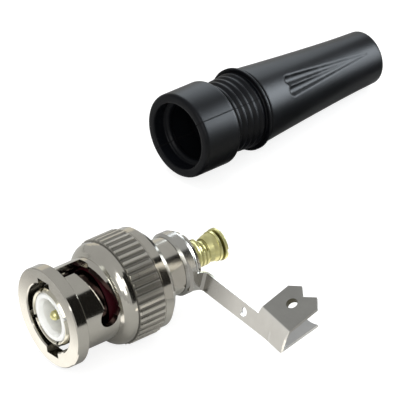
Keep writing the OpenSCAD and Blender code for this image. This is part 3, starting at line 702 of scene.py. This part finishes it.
# %% Wave washer
wave = smooth_copy("wave_washer", "wave_washer_smooth", 50, strip_steel.material)
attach(wave, "core")
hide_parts("wave_washer")
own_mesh(wave)
print("wave washer:", len(wave.data.polygons), "faces")

# %% [markdown]
# ## The clamp's cut edges
#
# A stamped strip has tiny rounded edges, and they catch the light as thin bright lines
# along the arm and round the wings. A narrow bevel on a merged copy draws them.

# %% Bevelled clamp
CUT_EDGE = 0.05  # width of the bevel in mm

clamp = smooth_copy("cable_clamp", "cable_clamp_fine", 30, sheet.material)
bevel = clamp.modifiers.new("cut_edge", "BEVEL")
bevel.width = CUT_EDGE * MM
bevel.segments = 2
bevel.limit_method = "ANGLE"
bevel.angle_limit = math.radians(50)
bevel.use_clamp_overlap = True
bpy.ops.object.modifier_apply(modifier="cut_edge")
bpy.ops.object.shade_smooth_by_angle(angle=math.radians(40))
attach(clamp, "core")
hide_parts("cable_clamp")
print("clamp:", len(clamp.data.polygons), "faces")

# %% [markdown]
# ## A real thread on the terminal screw
#
# The thread shows in the post's side window, so it is worth real geometry. A triangle is
# drawn at the screw's side and the Screw modifier sweeps it along the helix, half a
# millimetre for each turn. A spiral that is added by hand would need its ends welded, and
# the modifier does that by itself.

# %% Screw: sizes and two small helpers
HEAD_H, RIM_H, SLOT_W = 1.05, 0.45, 0.7  # the head, its straight rim, and its slot
THREAD_D, PITCH = 3.0, 0.5
TOOTH_H, TOOTH_SHARE, LEAD_IN = 0.30, 0.92, 0.55  # the share is of the pitch
SCREW_EDGE = 0.05

screw_low, screw_high = (Vector(corner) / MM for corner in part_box("terminal_screw"))
head_d = screw_high.x - screw_low.x
head_y = screw_high.y - HEAD_H
tip_y = screw_low.y
lie_down = (math.radians(-90), 0, 0)  # turns a primitive's own Z to the screw's axis


def active_mesh(name):
    """Names the primitive that was just added, and returns it."""
    thing = bpy.context.active_object
    thing.name = name
    return thing


def select_only(*things):
    """Selects these objects alone; the first becomes the active one."""
    bpy.ops.object.select_all(action="DESELECT")
    for thing in things:
        thing.select_set(True)
    bpy.context.view_layer.objects.active = things[0]


print("screw: head", round(head_d, 2), "mm wide, tip at y", round(tip_y, 2), "mm")

# %% Screw: the tooth
bpy.ops.object.select_all(action="DESELECT")
bpy.ops.mesh.primitive_circle_add(vertices=3, radius=0.2 * MM, fill_type="NGON")
tooth = active_mesh("tooth")
bpy.ops.object.mode_set(mode="EDIT")
bpy.ops.mesh.select_all(action="SELECT")
# The triangle lies in the X-Y plane with one corner on +Y: turn it to point to +X.
bpy.ops.transform.rotate(value=math.radians(-90), orient_axis="Z", center_override=(0, 0, 0))
bpy.ops.mesh.delete(type="ONLY_FACE")
bpy.ops.object.mode_set(mode="OBJECT")
across_x = [vertex.co.x for vertex in tooth.data.vertices]
across_y = [vertex.co.y for vertex in tooth.data.vertices]
fit_x = TOOTH_H * MM / (max(across_x) - min(across_x))
fit_y = PITCH * TOOTH_SHARE * MM / (max(across_y) - min(across_y))
shift = Vector((THREAD_D / 2 * MM - max(across_x) * fit_x, (tip_y + LEAD_IN) * MM, 0))
tooth.data.transform(Matrix.Translation(shift) @ Matrix.Diagonal((fit_x, fit_y, 1, 1)))
print("tooth:", len(tooth.data.vertices), "corners")

# %% Screw: the thread
turns = int((head_y - tip_y - 1.0) / PITCH)
sweep = tooth.modifiers.new("helix", "SCREW")
sweep.axis = "Y"
sweep.angle = math.radians(360)
sweep.screw_offset = PITCH * MM
sweep.iterations = turns
sweep.steps = sweep.render_steps = 32
sweep.use_merge_vertices = True
select_only(tooth)
bpy.ops.object.modifier_apply(modifier="helix")
print("thread:", turns, "turns", len(tooth.data.polygons), "faces")

# %% [markdown]
# ### The screw's rod and head
#
# A rod fills the thread. The head is a short cylinder whose end is drawn out into a dome:
# a large sphere, of which the cylinder keeps what they have in common. A bar then cuts
# the slot for the screwdriver, and a narrow bevel takes off the sharp edges that the
# Boolean modifiers leave.

# %% Screw: the rod
bpy.ops.object.select_all(action="DESELECT")
bpy.ops.mesh.primitive_cylinder_add(
    vertices=48, radius=(THREAD_D / 2 - 0.22) * MM, depth=(head_y - tip_y) * MM,
    location=(0, (head_y + tip_y) / 2 * MM, 0), rotation=lie_down)
core_rod = active_mesh("core_rod")
print("rod:", round(head_y - tip_y, 2), "mm long")

# %% Screw: what the head is cut from
dome_h = HEAD_H - RIM_H
dome_r = (head_d ** 2 / 4 + dome_h ** 2) / (2 * dome_h)
bpy.ops.object.select_all(action="DESELECT")
bpy.ops.mesh.primitive_cylinder_add(
    vertices=96, radius=head_d / 2 * MM, depth=2 * HEAD_H * MM,
    location=(0, (head_y + HEAD_H) * MM, 0), rotation=lie_down)
head = active_mesh("head")
bpy.ops.object.select_all(action="DESELECT")
bpy.ops.mesh.primitive_uv_sphere_add(
    segments=96, ring_count=96, radius=dome_r * MM,
    location=(0, (screw_high.y - dome_r) * MM, 0), rotation=lie_down)
ball = active_mesh("ball")
bpy.ops.object.select_all(action="DESELECT")
bpy.ops.mesh.primitive_cube_add(size=1, location=(0, (head_y + RIM_H * 0.6 + 1) * MM, 0))
slot_cutter = active_mesh("slot_cutter")
slot_cutter.scale = (head_d * 1.2 * MM, 2 * MM, SLOT_W * MM)
for thing in (head, ball, slot_cutter, core_rod):
    select_only(thing)
    bpy.ops.object.transform_apply(location=True, rotation=True, scale=True)
print("dome radius:", round(dome_r, 2), "mm")

# %% Screw: the head
for other, operation in ((ball, "INTERSECT"), (slot_cutter, "DIFFERENCE")):
    cut = head.modifiers.new("cut", "BOOLEAN")
    cut.object = other
    cut.operation = operation
    cut.solver = "EXACT"
    select_only(head)
    bpy.ops.object.modifier_apply(modifier="cut")
    bpy.data.objects.remove(other)
edges = head.modifiers.new("edges", "BEVEL")
edges.width = SCREW_EDGE * MM
edges.segments = 2
edges.limit_method = "ANGLE"
edges.angle_limit = math.radians(50)
bpy.ops.object.modifier_apply(modifier="edges")
print("head:", len(head.data.polygons), "faces")

# %% Screw: one piece
select_only(head, tooth, core_rod)
bpy.ops.object.join()
head.name = "terminal_screw_threaded"
bpy.ops.object.mode_set(mode="EDIT")
bpy.ops.mesh.select_all(action="SELECT")
bpy.ops.mesh.normals_make_consistent(inside=False)
bpy.ops.object.mode_set(mode="OBJECT")
bpy.ops.object.shade_smooth_by_angle(angle=math.radians(35))
head.data.materials.clear()
head.data.materials.append(brass_finish.material)
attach(head, "screw")
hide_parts("terminal_screw")
